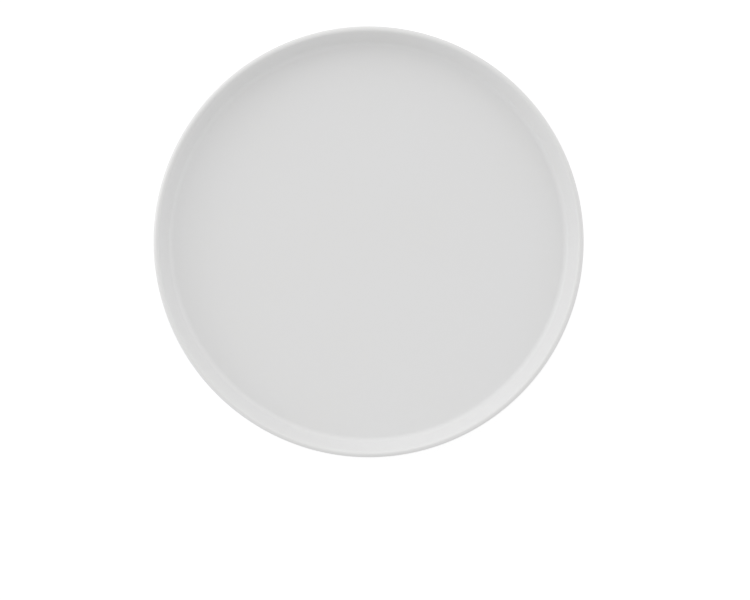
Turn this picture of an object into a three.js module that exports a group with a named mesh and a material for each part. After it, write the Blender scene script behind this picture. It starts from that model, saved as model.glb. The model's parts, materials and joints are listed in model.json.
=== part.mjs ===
// A round dinner plate of glazed porcelain: a flat well, a short upright wall and a tall foot ring.
// The fired body, the coat of glaze over it and the glaze inside its foot are three separate solids.
// Millimetres, +Z up, with the origin at the middle of the ring that the plate stands on.
import * as THREE from 'three';

// Driving dimensions of the glazed plate
const PLATE_DIAMETER = 260;
const FOOT_HEIGHT = 12.8;
const FLOOR_THICKNESS = 6.4;
const WELL_DEPTH = 12;
const LIP_WIDTH = 3.2;
const RIM_OVERHANG = 36.5;
const FOOT_WIDTH = 6;

// Lean of the inner wall away from upright, in degrees
const WALL_LEAN = 22;

// Roundings of the glazed plate, from the well outwards and down to the foot
const COVE_RADIUS = 4;
const LIP_INNER_EDGE_RADIUS = 1.4;
const LIP_OUTER_EDGE_RADIUS = 2.2;
const HEEL_RADIUS = 10;
const FOOT_FILLET = 2;
const RECESS_FILLET = 4;

// The bare ring that the plate stands on: its rounding, and the strip above it that is wiped clean
const FOOT_EDGE_RADIUS = 1.2;
const BARE_STRIP = 0.3;

// The coat of glaze, and the clearance between it and the body under it
const GLAZE_THICKNESS = 0.4;
const GLAZE_CLEARANCE = 0.02;

// Fineness of the turned surfaces: steps round the axis, and the turn in one step of an arc in degrees
const TURN_STEPS = 64;
const ARC_STEP = 22.5;

// Radii and heights that follow from the driving dimensions
const rimRadius = PLATE_DIAMETER / 2;
const footRadius = rimRadius - RIM_OVERHANG;
const recessRadius = footRadius - FOOT_WIDTH;
const wellHeight = FOOT_HEIGHT + FLOOR_THICKNESS;
const lipHeight = wellHeight + WELL_DEPTH;
const lipInnerRadius = rimRadius - LIP_WIDTH;
const wellRadius = lipInnerRadius - WELL_DEPTH * Math.tan(THREE.MathUtils.degToRad(WALL_LEAN));
const bodyInset = GLAZE_THICKNESS + GLAZE_CLEARANCE;
const glazeLineHeight = FOOT_EDGE_RADIUS + BARE_STRIP;

// A corner of an outline: its distance from the axis, its height, and the radius that rounds it
function corner(radius, height, rounding = 0) {
  return { at: new THREE.Vector2(radius, height), rounding };
}

// The direction from one corner to another
function heading(from, to) {
  return to.at.clone().sub(from.at).normalize();
}

// The direction into the material, which lies on the right of an outline
function inward(direction) {
  return new THREE.Vector2(direction.y, -direction.x);
}

// The angle that an outline turns through at a corner: positive to the left, and zero at its ends
function turnAt(outline, i) {
  if (i === 0 || i === outline.length - 1) {
    return 0;
  }
  const before = heading(outline[i - 1], outline[i]);
  const after = heading(outline[i], outline[i + 1]);
  return Math.atan2(before.cross(after), before.dot(after));
}

// How far the rounding of a corner reaches along the edges beside it
function reachAt(outline, i) {
  return outline[i].rounding * Math.tan(Math.abs(turnAt(outline, i)) / 2);
}

// The outline with its roundings made smaller where two of them would overlap on an edge
function fitRoundings(outline) {
  const shares = outline.slice(1).map((end, i) => {
    const length = outline[i].at.distanceTo(end.at);
    return Math.min(length / (reachAt(outline, i) + reachAt(outline, i + 1)), 1);
  });
  return outline.map(({ at, rounding }, i) => {
    return corner(at.x, at.y, rounding * Math.min(shares[i - 1] ?? 1, shares[i] ?? 1));
  });
}

// The outline moved into the material by a depth, with its roundings kept concentric
function insetOutline(outline, depth) {
  return outline.map(({ at, rounding }, i) => {
    const edge = Math.max(i - 1, 0);
    const along = heading(outline[edge], outline[edge + 1]);
    const turn = turnAt(outline, i);
    const moved = at.clone().addScaledVector(inward(along), depth);
    moved.addScaledVector(along, depth * Math.tan(turn / 2));
    return corner(moved.x, moved.y, Math.max(rounding + Math.sign(turn) * depth, 0));
  });
}

// The points at a corner: the corner itself, or the steps of the arc that rounds it
function cornerPoints(outline, i) {
  const { at, rounding } = outline[i];
  const turn = turnAt(outline, i);
  if (rounding === 0 || turn === 0) {
    return [at];
  }
  const before = heading(outline[i - 1], outline[i]);
  const start = at.clone().addScaledVector(before, -reachAt(outline, i));
  const center = start.clone().addScaledVector(inward(before), -Math.sign(turn) * rounding);
  const steps = Math.max(Math.round(Math.abs(turn) / THREE.MathUtils.degToRad(ARC_STEP)), 1);
  return Array.from({ length: steps + 1 }, (_, step) => {
    return start.clone().rotateAround(center, turn * step / steps);
  });
}

// All the points of an outline, with its roundings as arcs
function outlinePoints(outline) {
  return outline.flatMap((_, i) => cornerPoints(outline, i));
}

// A solid turned about the upright axis, from a profile with the material on its right
function turnedSolid(name, profile, material) {
  const geometry = new THREE.LatheGeometry(profile.toReversed(), TURN_STEPS);
  geometry.rotateX(Math.PI / 2);
  const mesh = new THREE.Mesh(geometry, material);
  mesh.name = name;
  return mesh;
}

// A coat of glaze: out along the glazed surface, back along the underside of the glaze, and closed
function glazeSolid(name, surface, material) {
  const outside = outlinePoints(surface);
  const underside = outlinePoints(insetOutline(surface, GLAZE_THICKNESS));
  return turnedSolid(name, [...outside, ...underside.toReversed(), outside[0]], material);
}

// Glazed surface of the top and outside, from the middle of the well to the glaze line on the foot
const outerSurface = fitRoundings([
  corner(0, wellHeight),
  corner(wellRadius, wellHeight, COVE_RADIUS),
  corner(lipInnerRadius, lipHeight, LIP_INNER_EDGE_RADIUS),
  corner(rimRadius, lipHeight, LIP_OUTER_EDGE_RADIUS),
  corner(rimRadius, FOOT_HEIGHT, HEEL_RADIUS),
  corner(footRadius, FOOT_HEIGHT, FOOT_FILLET),
  corner(footRadius, glazeLineHeight),
]);

// Glazed surface inside the foot, from the glaze line to the middle of the base
const baseSurface = fitRoundings([
  corner(recessRadius, glazeLineHeight),
  corner(recessRadius, FOOT_HEIGHT, RECESS_FILLET),
  corner(0, FOOT_HEIGHT),
]);

// Fired body: the two glazed surfaces less the glaze, joined by the bare ring that the plate stands on
const bodyOutline = fitRoundings([
  ...insetOutline(outerSurface, bodyInset).slice(0, -1),
  corner(footRadius - bodyInset, 0, FOOT_EDGE_RADIUS),
  corner(recessRadius + bodyInset, 0, FOOT_EDGE_RADIUS),
  ...insetOutline(baseSurface, bodyInset).slice(1),
]);

// Finishes: bare fired porcelain, and a satin white glaze
const bisque = new THREE.MeshStandardMaterial({ color: 0xe4e0d8, roughness: 0.85, metalness: 0 });
const outerGlaze = new THREE.MeshStandardMaterial({ color: 0xe7e7e6, roughness: 0.4, metalness: 0 });
const baseGlaze = outerGlaze.clone();

const plate = new THREE.Group();
plate.add(turnedSolid('porcelain_body', outlinePoints(bodyOutline), bisque));
plate.add(glazeSolid('glaze_coat', outerSurface, outerGlaze));
plate.add(glazeSolid('base_glaze', baseSurface, baseGlaze));

export default plate;
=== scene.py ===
"""Looks of a round porcelain plate: fine turned surfaces, satin glaze and a bare clay ring to stand on.

Metres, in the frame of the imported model: +Z up, with the plate standing on z = 0 round the origin.
"""
import json
import math

import bpy
from mathutils import Matrix, Vector, noise


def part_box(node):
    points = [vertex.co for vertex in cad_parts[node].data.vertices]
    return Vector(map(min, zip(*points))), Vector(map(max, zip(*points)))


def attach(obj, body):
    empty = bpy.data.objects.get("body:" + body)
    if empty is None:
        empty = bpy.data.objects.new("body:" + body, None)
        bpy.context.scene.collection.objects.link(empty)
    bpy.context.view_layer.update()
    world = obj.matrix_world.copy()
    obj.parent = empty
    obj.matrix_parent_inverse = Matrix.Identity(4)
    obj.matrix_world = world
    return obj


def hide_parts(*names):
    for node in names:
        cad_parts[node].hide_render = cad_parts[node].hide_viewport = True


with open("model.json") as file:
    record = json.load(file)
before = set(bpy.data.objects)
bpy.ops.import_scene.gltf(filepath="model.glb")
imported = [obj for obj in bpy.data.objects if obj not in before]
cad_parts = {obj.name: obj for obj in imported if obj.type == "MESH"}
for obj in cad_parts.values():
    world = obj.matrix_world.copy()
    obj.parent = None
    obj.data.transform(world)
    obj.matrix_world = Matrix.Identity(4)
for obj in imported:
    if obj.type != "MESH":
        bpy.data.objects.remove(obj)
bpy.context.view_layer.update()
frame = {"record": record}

# Sizes that the frame gives
coat_low, coat_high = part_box("glaze_coat")
base_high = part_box("base_glaze")[1]
rim_radius = coat_high.x
lip_height = coat_high.z
glaze_line = coat_low.z

# Sizes of the profile that the frame's boxes don't give
GLAZE_THICKNESS = 0.0004
GLAZE_CLEARANCE = 0.00002
WELL_DEPTH = 0.012
LIP_WIDTH = 0.0032
FOOT_WIDTH = 0.006
WALL_LEAN = math.radians(22)

# Roundings, from the well outwards and down to the foot
COVE_RADIUS = 0.004
LIP_INNER_EDGE_RADIUS = 0.0014
LIP_OUTER_EDGE_RADIUS = 0.0022
HEEL_RADIUS = 0.010
FOOT_FILLET = 0.002
RECESS_FILLET = 0.004
FOOT_EDGE_RADIUS = 0.0012

# The wiped edge of the glaze on the foot: its rounding, the bead above it, and how far it wanders
GLAZE_EDGE_RADIUS = 0.0003
BEAD_REACH = 0.001
BEAD_SWELL = 0.0001
BEAD_STRIP = 0.0027
BEAD_STEPS = 6
WIPE_WANDER = 0.0002
WIPE_WAVES = 5

# Slight unevenness from turning and firing: out of round, out of level, and over what length
ROUNDNESS_ERROR = 0.00014
LEVEL_ERROR = 0.0002
UNEVEN_LENGTH = 0.13

# Where the glaze runs thin: how far above its wiped edge, how far below the lip, and how much on the lip
THIN_ABOVE_EDGE = 0.0012
THIN_BELOW_LIP = 0.0008
LIP_SHARE = 0.25

# Fineness: steps round the axis, turn in a step of an arc, and longest run in sight and under the glaze
TURN_STEPS = 256
ARC_STEP = math.radians(6)
SHOWN_RUN = 0.003
HIDDEN_RUN = 0.012

# A point of a profile that is no farther than this from the axis lies on it
AXIS_TOLERANCE = 0.00002

# The camera looks down from above the plate's axis, in an image of 750 x 600 pixels
IMAGE_WIDTH = 750
IMAGE_HEIGHT = 600
AXIS_PIXEL = (368.9, 244.7)
CAMERA_RISE = 0.565
FOCAL_PIXELS = 937
SENSOR_WIDTH = 36

# Noise in the materials: how many finer layers it has
NOISE_DETAIL = 3

# Glaze: sizes of its features, how far they and its thin places show, its tints, ripple and gloss
CLOUD_SIZE = 0.06
CLOUD_RANGE = (0.5, 0.9)
MOTTLE_SIZE = 0.004
MOTTLE_RANGE = (-0.1, 0.1)
THIN_SHARE = 0.6
THIN_TINT = (0.985, 0.975, 0.965)
THICK_TINT = (1.006, 1.01, 1.03)
RIPPLE_SIZE = 0.0025
RIPPLE_HEIGHT = 0.00004
RIPPLE_STRENGTH = 0.1
GLOSS_PATCH_SIZE = 0.02
GLAZE_ROUGHNESS = (0.36, 0.48)

# Bare porcelain: its grain, its dusty patches, the rings that wiping left, and its relief and gloss
GRAIN_SIZE = 0.0006
GRAIN_TONE = 0.3
DUST_SIZE = 0.012
DUST_RANGE = (0, 0.8)
DUSTY_TINT = (0.93, 0.92, 0.9)
CLEAN_TINT = (1.03, 1.03, 1.03)
WIPE_RING_SCALE = 900
WIPE_RING_WOBBLE = 2
WIPE_RING_SHARE = 0.4
RELIEF_HEIGHT = 0.00008
RELIEF_STRENGTH = 0.5
BISQUE_ROUGHNESS = 0.85

# White light, as linear RGBA
WHITE = (1, 1, 1, 1)

# Floor: its size, how white and how rough it is, how much it glows, and how much more to the camera
FLOOR_SIZE = 60
FLOOR_WHITE = 0.5
FLOOR_ROUGHNESS = 0.9
FLOOR_GLOW = 0.41
FLOOR_SHOWN = 0.23

# Dome: how bright it is at the horizon, how much brighter at the back, and how much it falls overhead
DOME_STRENGTH = 1.0
DOME_SLOPE = 0.27
DOME_FALL = 0.29

# Backdrop: how bright the camera sees it, a little over white
BACKDROP_SHOWN = 1.05

# Lamp: a wide soft one, low on the left
KEY_BEARING = math.radians(165)
KEY_RISE = math.radians(14)
KEY_DISTANCE = 1.2
KEY_SIZE = 0.6
KEY_POWER = 2.0

# Radii and heights that follow
recess_radius = base_high.x - GLAZE_THICKNESS
foot_height = base_high.z - GLAZE_THICKNESS
foot_radius = recess_radius + FOOT_WIDTH
well_height = lip_height - WELL_DEPTH
lip_inner_radius = rim_radius - LIP_WIDTH
well_radius = lip_inner_radius - WELL_DEPTH * math.tan(WALL_LEAN)
body_inset = GLAZE_THICKNESS + GLAZE_CLEARANCE


def corner(radius, height, rounding=0.0):
    """A corner of an outline: its place in the half plane beside the axis, and its rounding."""
    return Vector((radius, height)), rounding


def turn_at(outline, i):
    """The angle that an outline turns through at a corner: positive to the left, zero at its ends."""
    if i in (0, len(outline) - 1):
        return 0.0
    before = outline[i][0] - outline[i - 1][0]
    after = outline[i + 1][0] - outline[i][0]
    return math.atan2(before.cross(after), before.dot(after))


def inward(direction):
    """The direction into the material, which lies on the right of an outline."""
    return Vector((direction.y, -direction.x))


def inset(outline, depth):
    """The outline moved into the material by a depth, with its roundings kept concentric."""
    moved = []
    for i, (at, rounding) in enumerate(outline):
        edge = max(i - 1, 0)
        along = (outline[edge + 1][0] - outline[edge][0]).normalized()
        turn = turn_at(outline, i)
        place = at + inward(along) * depth + along * depth * math.tan(turn / 2)
        grown = rounding + math.copysign(depth, turn) if turn else 0.0
        moved.append((place, max(grown, 0.0)))
    return moved


def corner_points(outline, i):
    """The points at a corner: the corner itself, or the steps of the arc that rounds it."""
    at, rounding = outline[i]
    turn = turn_at(outline, i)
    if not rounding or not turn:
        return [at]
    before = (at - outline[i - 1][0]).normalized()
    start = at - before * rounding * math.tan(abs(turn) / 2)
    center = start - inward(before) * math.copysign(rounding, turn)
    steps = max(round(abs(turn) / ARC_STEP), 1)
    return [center + Matrix.Rotation(turn * k / steps, 2) @ (start - center) for k in range(steps + 1)]


def outline_points(outline, longest_run):
    """All the points of an outline, with arcs at its roundings and its long runs split up."""
    points = corner_points(outline, 0)
    for i in range(1, len(outline)):
        fresh = corner_points(outline, i)
        start = points[-1]
        run = fresh[0] - start
        parts = max(math.ceil(run.length / longest_run), 1)
        points += [start + run * k / parts for k in range(1, parts)]
        points += fresh
    return points


def thinness(at):
    """How thin the glaze runs at a point: most at its wiped edge, and a little over the lip."""
    edge = math.exp(-((at.y - glaze_line) / THIN_ABOVE_EDGE) ** 2)
    lip = math.exp(-((at.y - lip_height) / THIN_BELOW_LIP) ** 2)
    return edge + lip * LIP_SHARE


def wiped(at, angle):
    """A point of the glaze with the bead and the wander of the edge where it was wiped off the foot."""
    near = math.exp(-((at.y - glaze_line) / BEAD_REACH) ** 2)
    aside = at.x - (foot_radius + recess_radius) / 2
    proud = min(max((abs(aside) - FOOT_WIDTH / 2) / GLAZE_THICKNESS + 1, 0), 1)
    swell = math.copysign(BEAD_SWELL * proud, aside)
    around = Vector((math.cos(angle), math.sin(angle), at.x / rim_radius)) * WIPE_WAVES
    return at + Vector((swell, noise.noise(around) * WIPE_WANDER)) * near


def unwiped(at, angle):
    """A point of the bare body, which has no edge of glaze."""
    return at


def fired(at, angle):
    """A point of the plate in space, a little out of round and out of level from turning and firing."""
    place = Vector((at.x * math.cos(angle), at.x * math.sin(angle), at.y))
    reach = at.x / rim_radius
    rise = at.y / lip_height
    out_of_round = (noise.noise(place / UNEVEN_LENGTH) + 1) / 2
    out_of_level = (noise.noise(-place / UNEVEN_LENGTH) + 1) / 2
    place.xy *= 1 - out_of_round * reach * ROUNDNESS_ERROR / rim_radius
    place.z -= out_of_level * reach * rise * LEVEL_ERROR
    return place


def ring_faces(first, second):
    """The faces between two rings of vertices, either of which may be a single pole on the axis."""
    faces = []
    for k in range(TURN_STEPS):
        face = [first[k % len(first)], second[k % len(second)]]
        face += [second[(k + 1) % len(second)], first[(k + 1) % len(first)]]
        faces.append(list(dict.fromkeys(face)))
    return [face for face in faces if len(face) > 2]


def add_object(name, data):
    """A new object in the scene."""
    added = bpy.data.objects.new(name, data)
    bpy.context.scene.collection.objects.link(added)
    return added


def turned(name, profile, shape):
    """A closed solid turned about the upright axis from a profile, with the thinness of its glaze."""
    places, rings, thin = [], [], []
    for at in profile:
        steps = TURN_STEPS if at.x > AXIS_TOLERANCE else 1
        angles = [2 * math.pi * k / TURN_STEPS for k in range(steps)]
        rings.append(range(len(places), len(places) + steps))
        places += [fired(shape(at, angle), angle) for angle in angles]
        thin += [thinness(at)] * steps
    faces = [face for pair in zip(rings, [*rings[1:], rings[0]]) for face in ring_faces(*pair)]
    mesh = bpy.data.meshes.new(name)
    mesh.from_pydata(places, [], faces)
    mesh.attributes.new("thinness", "FLOAT", "POINT").data.foreach_set("value", thin)
    mesh.shade_smooth()
    return add_object(name, mesh)


def bead_strip(radius):
    """The points on a side of the foot that the bead of the glaze moves, from its wiped edge upwards."""
    step = BEAD_STRIP / BEAD_STEPS
    return [corner(radius, glaze_line + step * k) for k in range(1, BEAD_STEPS + 1)]


def coat_profile(surface):
    """The closed profile of a coat of glaze: along its face, and back along its hidden underside."""
    under = inset(surface, GLAZE_THICKNESS)
    face = outline_points([under[0], *surface, under[-1]], SHOWN_RUN)
    hidden = outline_points(under, HIDDEN_RUN)[1:-1]
    return face + hidden[::-1]


# Glazed surface of the top and outside, from the middle of the well to the glaze line on the foot
outer_surface = [
    corner(0, well_height),
    corner(well_radius, well_height, COVE_RADIUS),
    corner(lip_inner_radius, lip_height, LIP_INNER_EDGE_RADIUS),
    corner(rim_radius, lip_height, LIP_OUTER_EDGE_RADIUS),
    corner(rim_radius, foot_height, HEEL_RADIUS),
    corner(foot_radius, foot_height, FOOT_FILLET),
    *reversed(bead_strip(foot_radius)),
    corner(foot_radius, glaze_line, GLAZE_EDGE_RADIUS),
]

# Glazed surface inside the foot, from the glaze line to the middle of the base
base_surface = [
    corner(recess_radius, glaze_line, GLAZE_EDGE_RADIUS),
    *bead_strip(recess_radius),
    corner(recess_radius, foot_height, RECESS_FILLET),
    corner(0, foot_height),
]

# Fired body: the two glazed surfaces less the glaze, joined by the bare ring that the plate stands on
body_outline = [
    *inset(outer_surface, body_inset)[:-1],
    corner(foot_radius - body_inset, 0, FOOT_EDGE_RADIUS),
    corner(recess_radius + body_inset, 0, FOOT_EDGE_RADIUS),
    *inset(base_surface, body_inset)[1:],
]


def slot_colour(name, tint):
    """The record's colour for a material slot, tinted, as linear RGBA."""
    entry = next(m for m in frame["record"]["materials"] if m["slot"] == name)
    return (*(value * share for value, share in zip(entry["base_color"], tint)), 1)


def new_material(name):
    """A material, its node tree and its surface shader."""
    material = bpy.data.materials.new(name)
    material.use_nodes = True
    return material, material.node_tree, material.node_tree.nodes["Principled BSDF"]


def feed(tree, socket, given):
    """Links an input to another node's output, or sets it to a value."""
    if isinstance(given, bpy.types.NodeSocket):
        tree.links.new(given, socket)
    else:
        socket.default_value = given


def add_node(tree, kind, inputs):
    """A new node, with each named input set to a value or linked to another node's output."""
    node = tree.nodes.new(kind)
    for name, given in inputs.items():
        feed(tree, node.inputs[name], given)
    return node


def clouds(tree, feature_size, low, high):
    """A noise in the plate's own space, with features of a size, that swings between two values."""
    place = tree.nodes.new("ShaderNodeTexCoord").outputs["Object"]
    layers = {"Vector": place, "Scale": 1 / feature_size, "Detail": NOISE_DETAIL}
    field = add_node(tree, "ShaderNodeTexNoise", layers)
    spread = {"Value": field.outputs["Fac"], "To Min": low, "To Max": high}
    return add_node(tree, "ShaderNodeMapRange", spread).outputs["Result"]


def math_node(tree, operation, first, second):
    """The result of a sum or product of two sockets or numbers."""
    node = tree.nodes.new("ShaderNodeMath")
    node.operation = operation
    for socket, given in zip(node.inputs, (first, second)):
        feed(tree, socket, given)
    return node.outputs["Value"]


def blended(tree, share, first, second):
    """A colour between two others."""
    node = tree.nodes.new("ShaderNodeMix")
    node.data_type = "RGBA"
    tree.links.new(share, node.inputs["Factor"])
    colours = [socket for socket in node.inputs if socket.type == "RGBA"]
    for socket, colour in zip(colours, (first, second)):
        socket.default_value = colour
    return next(socket for socket in node.outputs if socket.type == "RGBA")


def glaze_material():
    """Satin white glaze: faintly clouded, and a shade warmer where it runs thin over the clay."""
    material, tree, shader = new_material("white_glaze")
    attribute = tree.nodes.new("ShaderNodeAttribute")
    attribute.attribute_name = "thinness"
    thinned = math_node(tree, "MULTIPLY", attribute.outputs["Fac"], -THIN_SHARE)
    mottled = math_node(tree, "ADD", clouds(tree, MOTTLE_SIZE, *MOTTLE_RANGE), thinned)
    depth = math_node(tree, "ADD", clouds(tree, CLOUD_SIZE, *CLOUD_RANGE), mottled)
    tint = blended(tree, depth, slot_colour("glaze", THIN_TINT), slot_colour("glaze", THICK_TINT))
    waves = clouds(tree, RIPPLE_SIZE, 0, 1)
    ripple = {"Height": waves, "Strength": RIPPLE_STRENGTH, "Distance": RIPPLE_HEIGHT}
    tree.links.new(tint, shader.inputs["Base Color"])
    tree.links.new(clouds(tree, GLOSS_PATCH_SIZE, *GLAZE_ROUGHNESS), shader.inputs["Roughness"])
    tree.links.new(add_node(tree, "ShaderNodeBump", ripple).outputs["Normal"], shader.inputs["Normal"])
    return material


def bisque_material():
    """Bare fired porcelain: matt, with a fine grain and faint rings from wiping on a wheel."""
    material, tree, shader = new_material("bare_porcelain")
    place = tree.nodes.new("ShaderNodeTexCoord").outputs["Object"]
    wiping = {"Vector": place, "Scale": WIPE_RING_SCALE, "Distortion": WIPE_RING_WOBBLE}
    rings = add_node(tree, "ShaderNodeTexWave", wiping)
    rings.wave_type = "RINGS"
    rings.rings_direction = "Z"
    grain = clouds(tree, GRAIN_SIZE, 0, 1)
    ringed = math_node(tree, "MULTIPLY", rings.outputs["Fac"], WIPE_RING_SHARE)
    marks = math_node(tree, "ADD", grain, ringed)
    relief = {"Height": marks, "Strength": RELIEF_STRENGTH, "Distance": RELIEF_HEIGHT}
    grained = math_node(tree, "MULTIPLY", grain, GRAIN_TONE)
    tone = math_node(tree, "ADD", clouds(tree, DUST_SIZE, *DUST_RANGE), grained)
    tint = blended(tree, tone, slot_colour("bisque", DUSTY_TINT), slot_colour("bisque", CLEAN_TINT))
    tree.links.new(tint, shader.inputs["Base Color"])
    tree.links.new(add_node(tree, "ShaderNodeBump", relief).outputs["Normal"], shader.inputs["Normal"])
    shader.inputs["Roughness"].default_value = BISQUE_ROUGHNESS
    return material


def dress(piece, material, node):
    """Gives a piece its material, and has it stand for a node of the frame."""
    piece.data.materials.append(material)
    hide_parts(node)
    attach(piece, "root")


glaze = glaze_material()
bisque = bisque_material()
body_profile = outline_points(body_outline, SHOWN_RUN)
dress(turned("plate_body", body_profile, unwiped), bisque, "porcelain_body")
dress(turned("plate_glaze", coat_profile(outer_surface), wiped), glaze, "glaze_coat")
dress(turned("foot_glaze", coat_profile(base_surface), wiped), glaze, "base_glaze")


def floor_material():
    """A pale matt floor that is lit from within like a light table, and shows plain white."""
    material, tree, shader = new_material("pale_floor")
    shader.inputs["Base Color"].default_value = (FLOOR_WHITE, FLOOR_WHITE, FLOOR_WHITE, 1)
    shader.inputs["Roughness"].default_value = FLOOR_ROUGHNESS
    shader.inputs["Specular IOR Level"].default_value = 0
    shader.inputs["Emission Color"].default_value = WHITE
    seen = tree.nodes.new("ShaderNodeLightPath").outputs["Is Camera Ray"]
    glow = math_node(tree, "ADD", math_node(tree, "MULTIPLY", seen, FLOOR_SHOWN), FLOOR_GLOW)
    tree.links.new(glow, shader.inputs["Emission Strength"])
    return material


def make_floor():
    """A plain floor, level with the ring that the plate stands on."""
    half = FLOOR_SIZE / 2
    corners = [(-half, -half, 0), (half, -half, 0), (half, half, 0), (-half, half, 0)]
    mesh = bpy.data.meshes.new("floor")
    mesh.from_pydata(corners, [], [range(len(corners))])
    mesh.materials.append(floor_material())
    floor = add_object("floor", mesh)


def make_dome():
    """A soft white dome, brighter at the back and weaker overhead, with a plain white backdrop."""
    world = bpy.data.worlds.new("dome")
    world.use_nodes = True
    tree = world.node_tree
    dome = tree.nodes["Background"]
    dome.inputs["Color"].default_value = WHITE
    way = tree.nodes.new("ShaderNodeTexCoord").outputs["Generated"]
    parts = add_node(tree, "ShaderNodeSeparateXYZ", {"Vector": way}).outputs
    slope = math_node(tree, "MULTIPLY", parts["Y"], DOME_SLOPE)
    fall = math_node(tree, "MULTIPLY", math_node(tree, "MULTIPLY", parts["Z"], parts["Z"]), -DOME_FALL)
    level = math_node(tree, "ADD", math_node(tree, "ADD", slope, fall), DOME_STRENGTH)
    tree.links.new(level, dome.inputs["Strength"])
    backdrop = add_node(tree, "ShaderNodeBackground", {"Color": WHITE, "Strength": BACKDROP_SHOWN})
    seen = tree.nodes.new("ShaderNodeLightPath").outputs["Is Camera Ray"]
    either = add_node(tree, "ShaderNodeMixShader", {"Fac": seen})
    tree.links.new(dome.outputs["Background"], either.inputs[1])
    tree.links.new(backdrop.outputs["Background"], either.inputs[2])
    tree.links.new(either.outputs["Shader"], tree.nodes["World Output"].inputs["Surface"])
    bpy.context.scene.world = world


def make_key():
    """A wide soft lamp, low on the left."""
    data = bpy.data.lights.new("key", "AREA")
    data.shape = "DISK"
    data.size = KEY_SIZE
    data.energy = KEY_POWER
    level = math.cos(KEY_RISE)
    way = Vector((level * math.cos(KEY_BEARING), level * math.sin(KEY_BEARING), math.sin(KEY_RISE)))
    key = add_object("key", data)
    key.location = way * KEY_DISTANCE
    key.rotation_euler = way.to_track_quat("Z", "Y").to_euler()
    key.visible_camera = False


def make_camera():
    """The camera above the plate, turned so that the plate's axis falls on its pixel of the image."""
    data = bpy.data.cameras.new("camera")
    data.sensor_width = SENSOR_WIDTH
    data.lens = SENSOR_WIDTH * FOCAL_PIXELS / IMAGE_WIDTH
    camera = add_object("camera", data)
    across = (IMAGE_WIDTH / 2 - AXIS_PIXEL[0]) / FOCAL_PIXELS
    along = (IMAGE_HEIGHT / 2 - AXIS_PIXEL[1]) / FOCAL_PIXELS
    forward = Vector((across, -along, -1)).normalized()
    image_top = Vector((0, 1, 0))
    right = forward.cross(image_top).normalized()
    turn = Matrix((right, right.cross(forward), -forward)).transposed().to_4x4()
    camera.matrix_world = Matrix.Translation((0, 0, lip_height + CAMERA_RISE)) @ turn
    bpy.context.scene.camera = camera


make_floor()
make_dome()
make_key()
make_camera()
bpy.context.scene.view_settings.view_transform = "Standard"

bpy.context.view_layer.update()
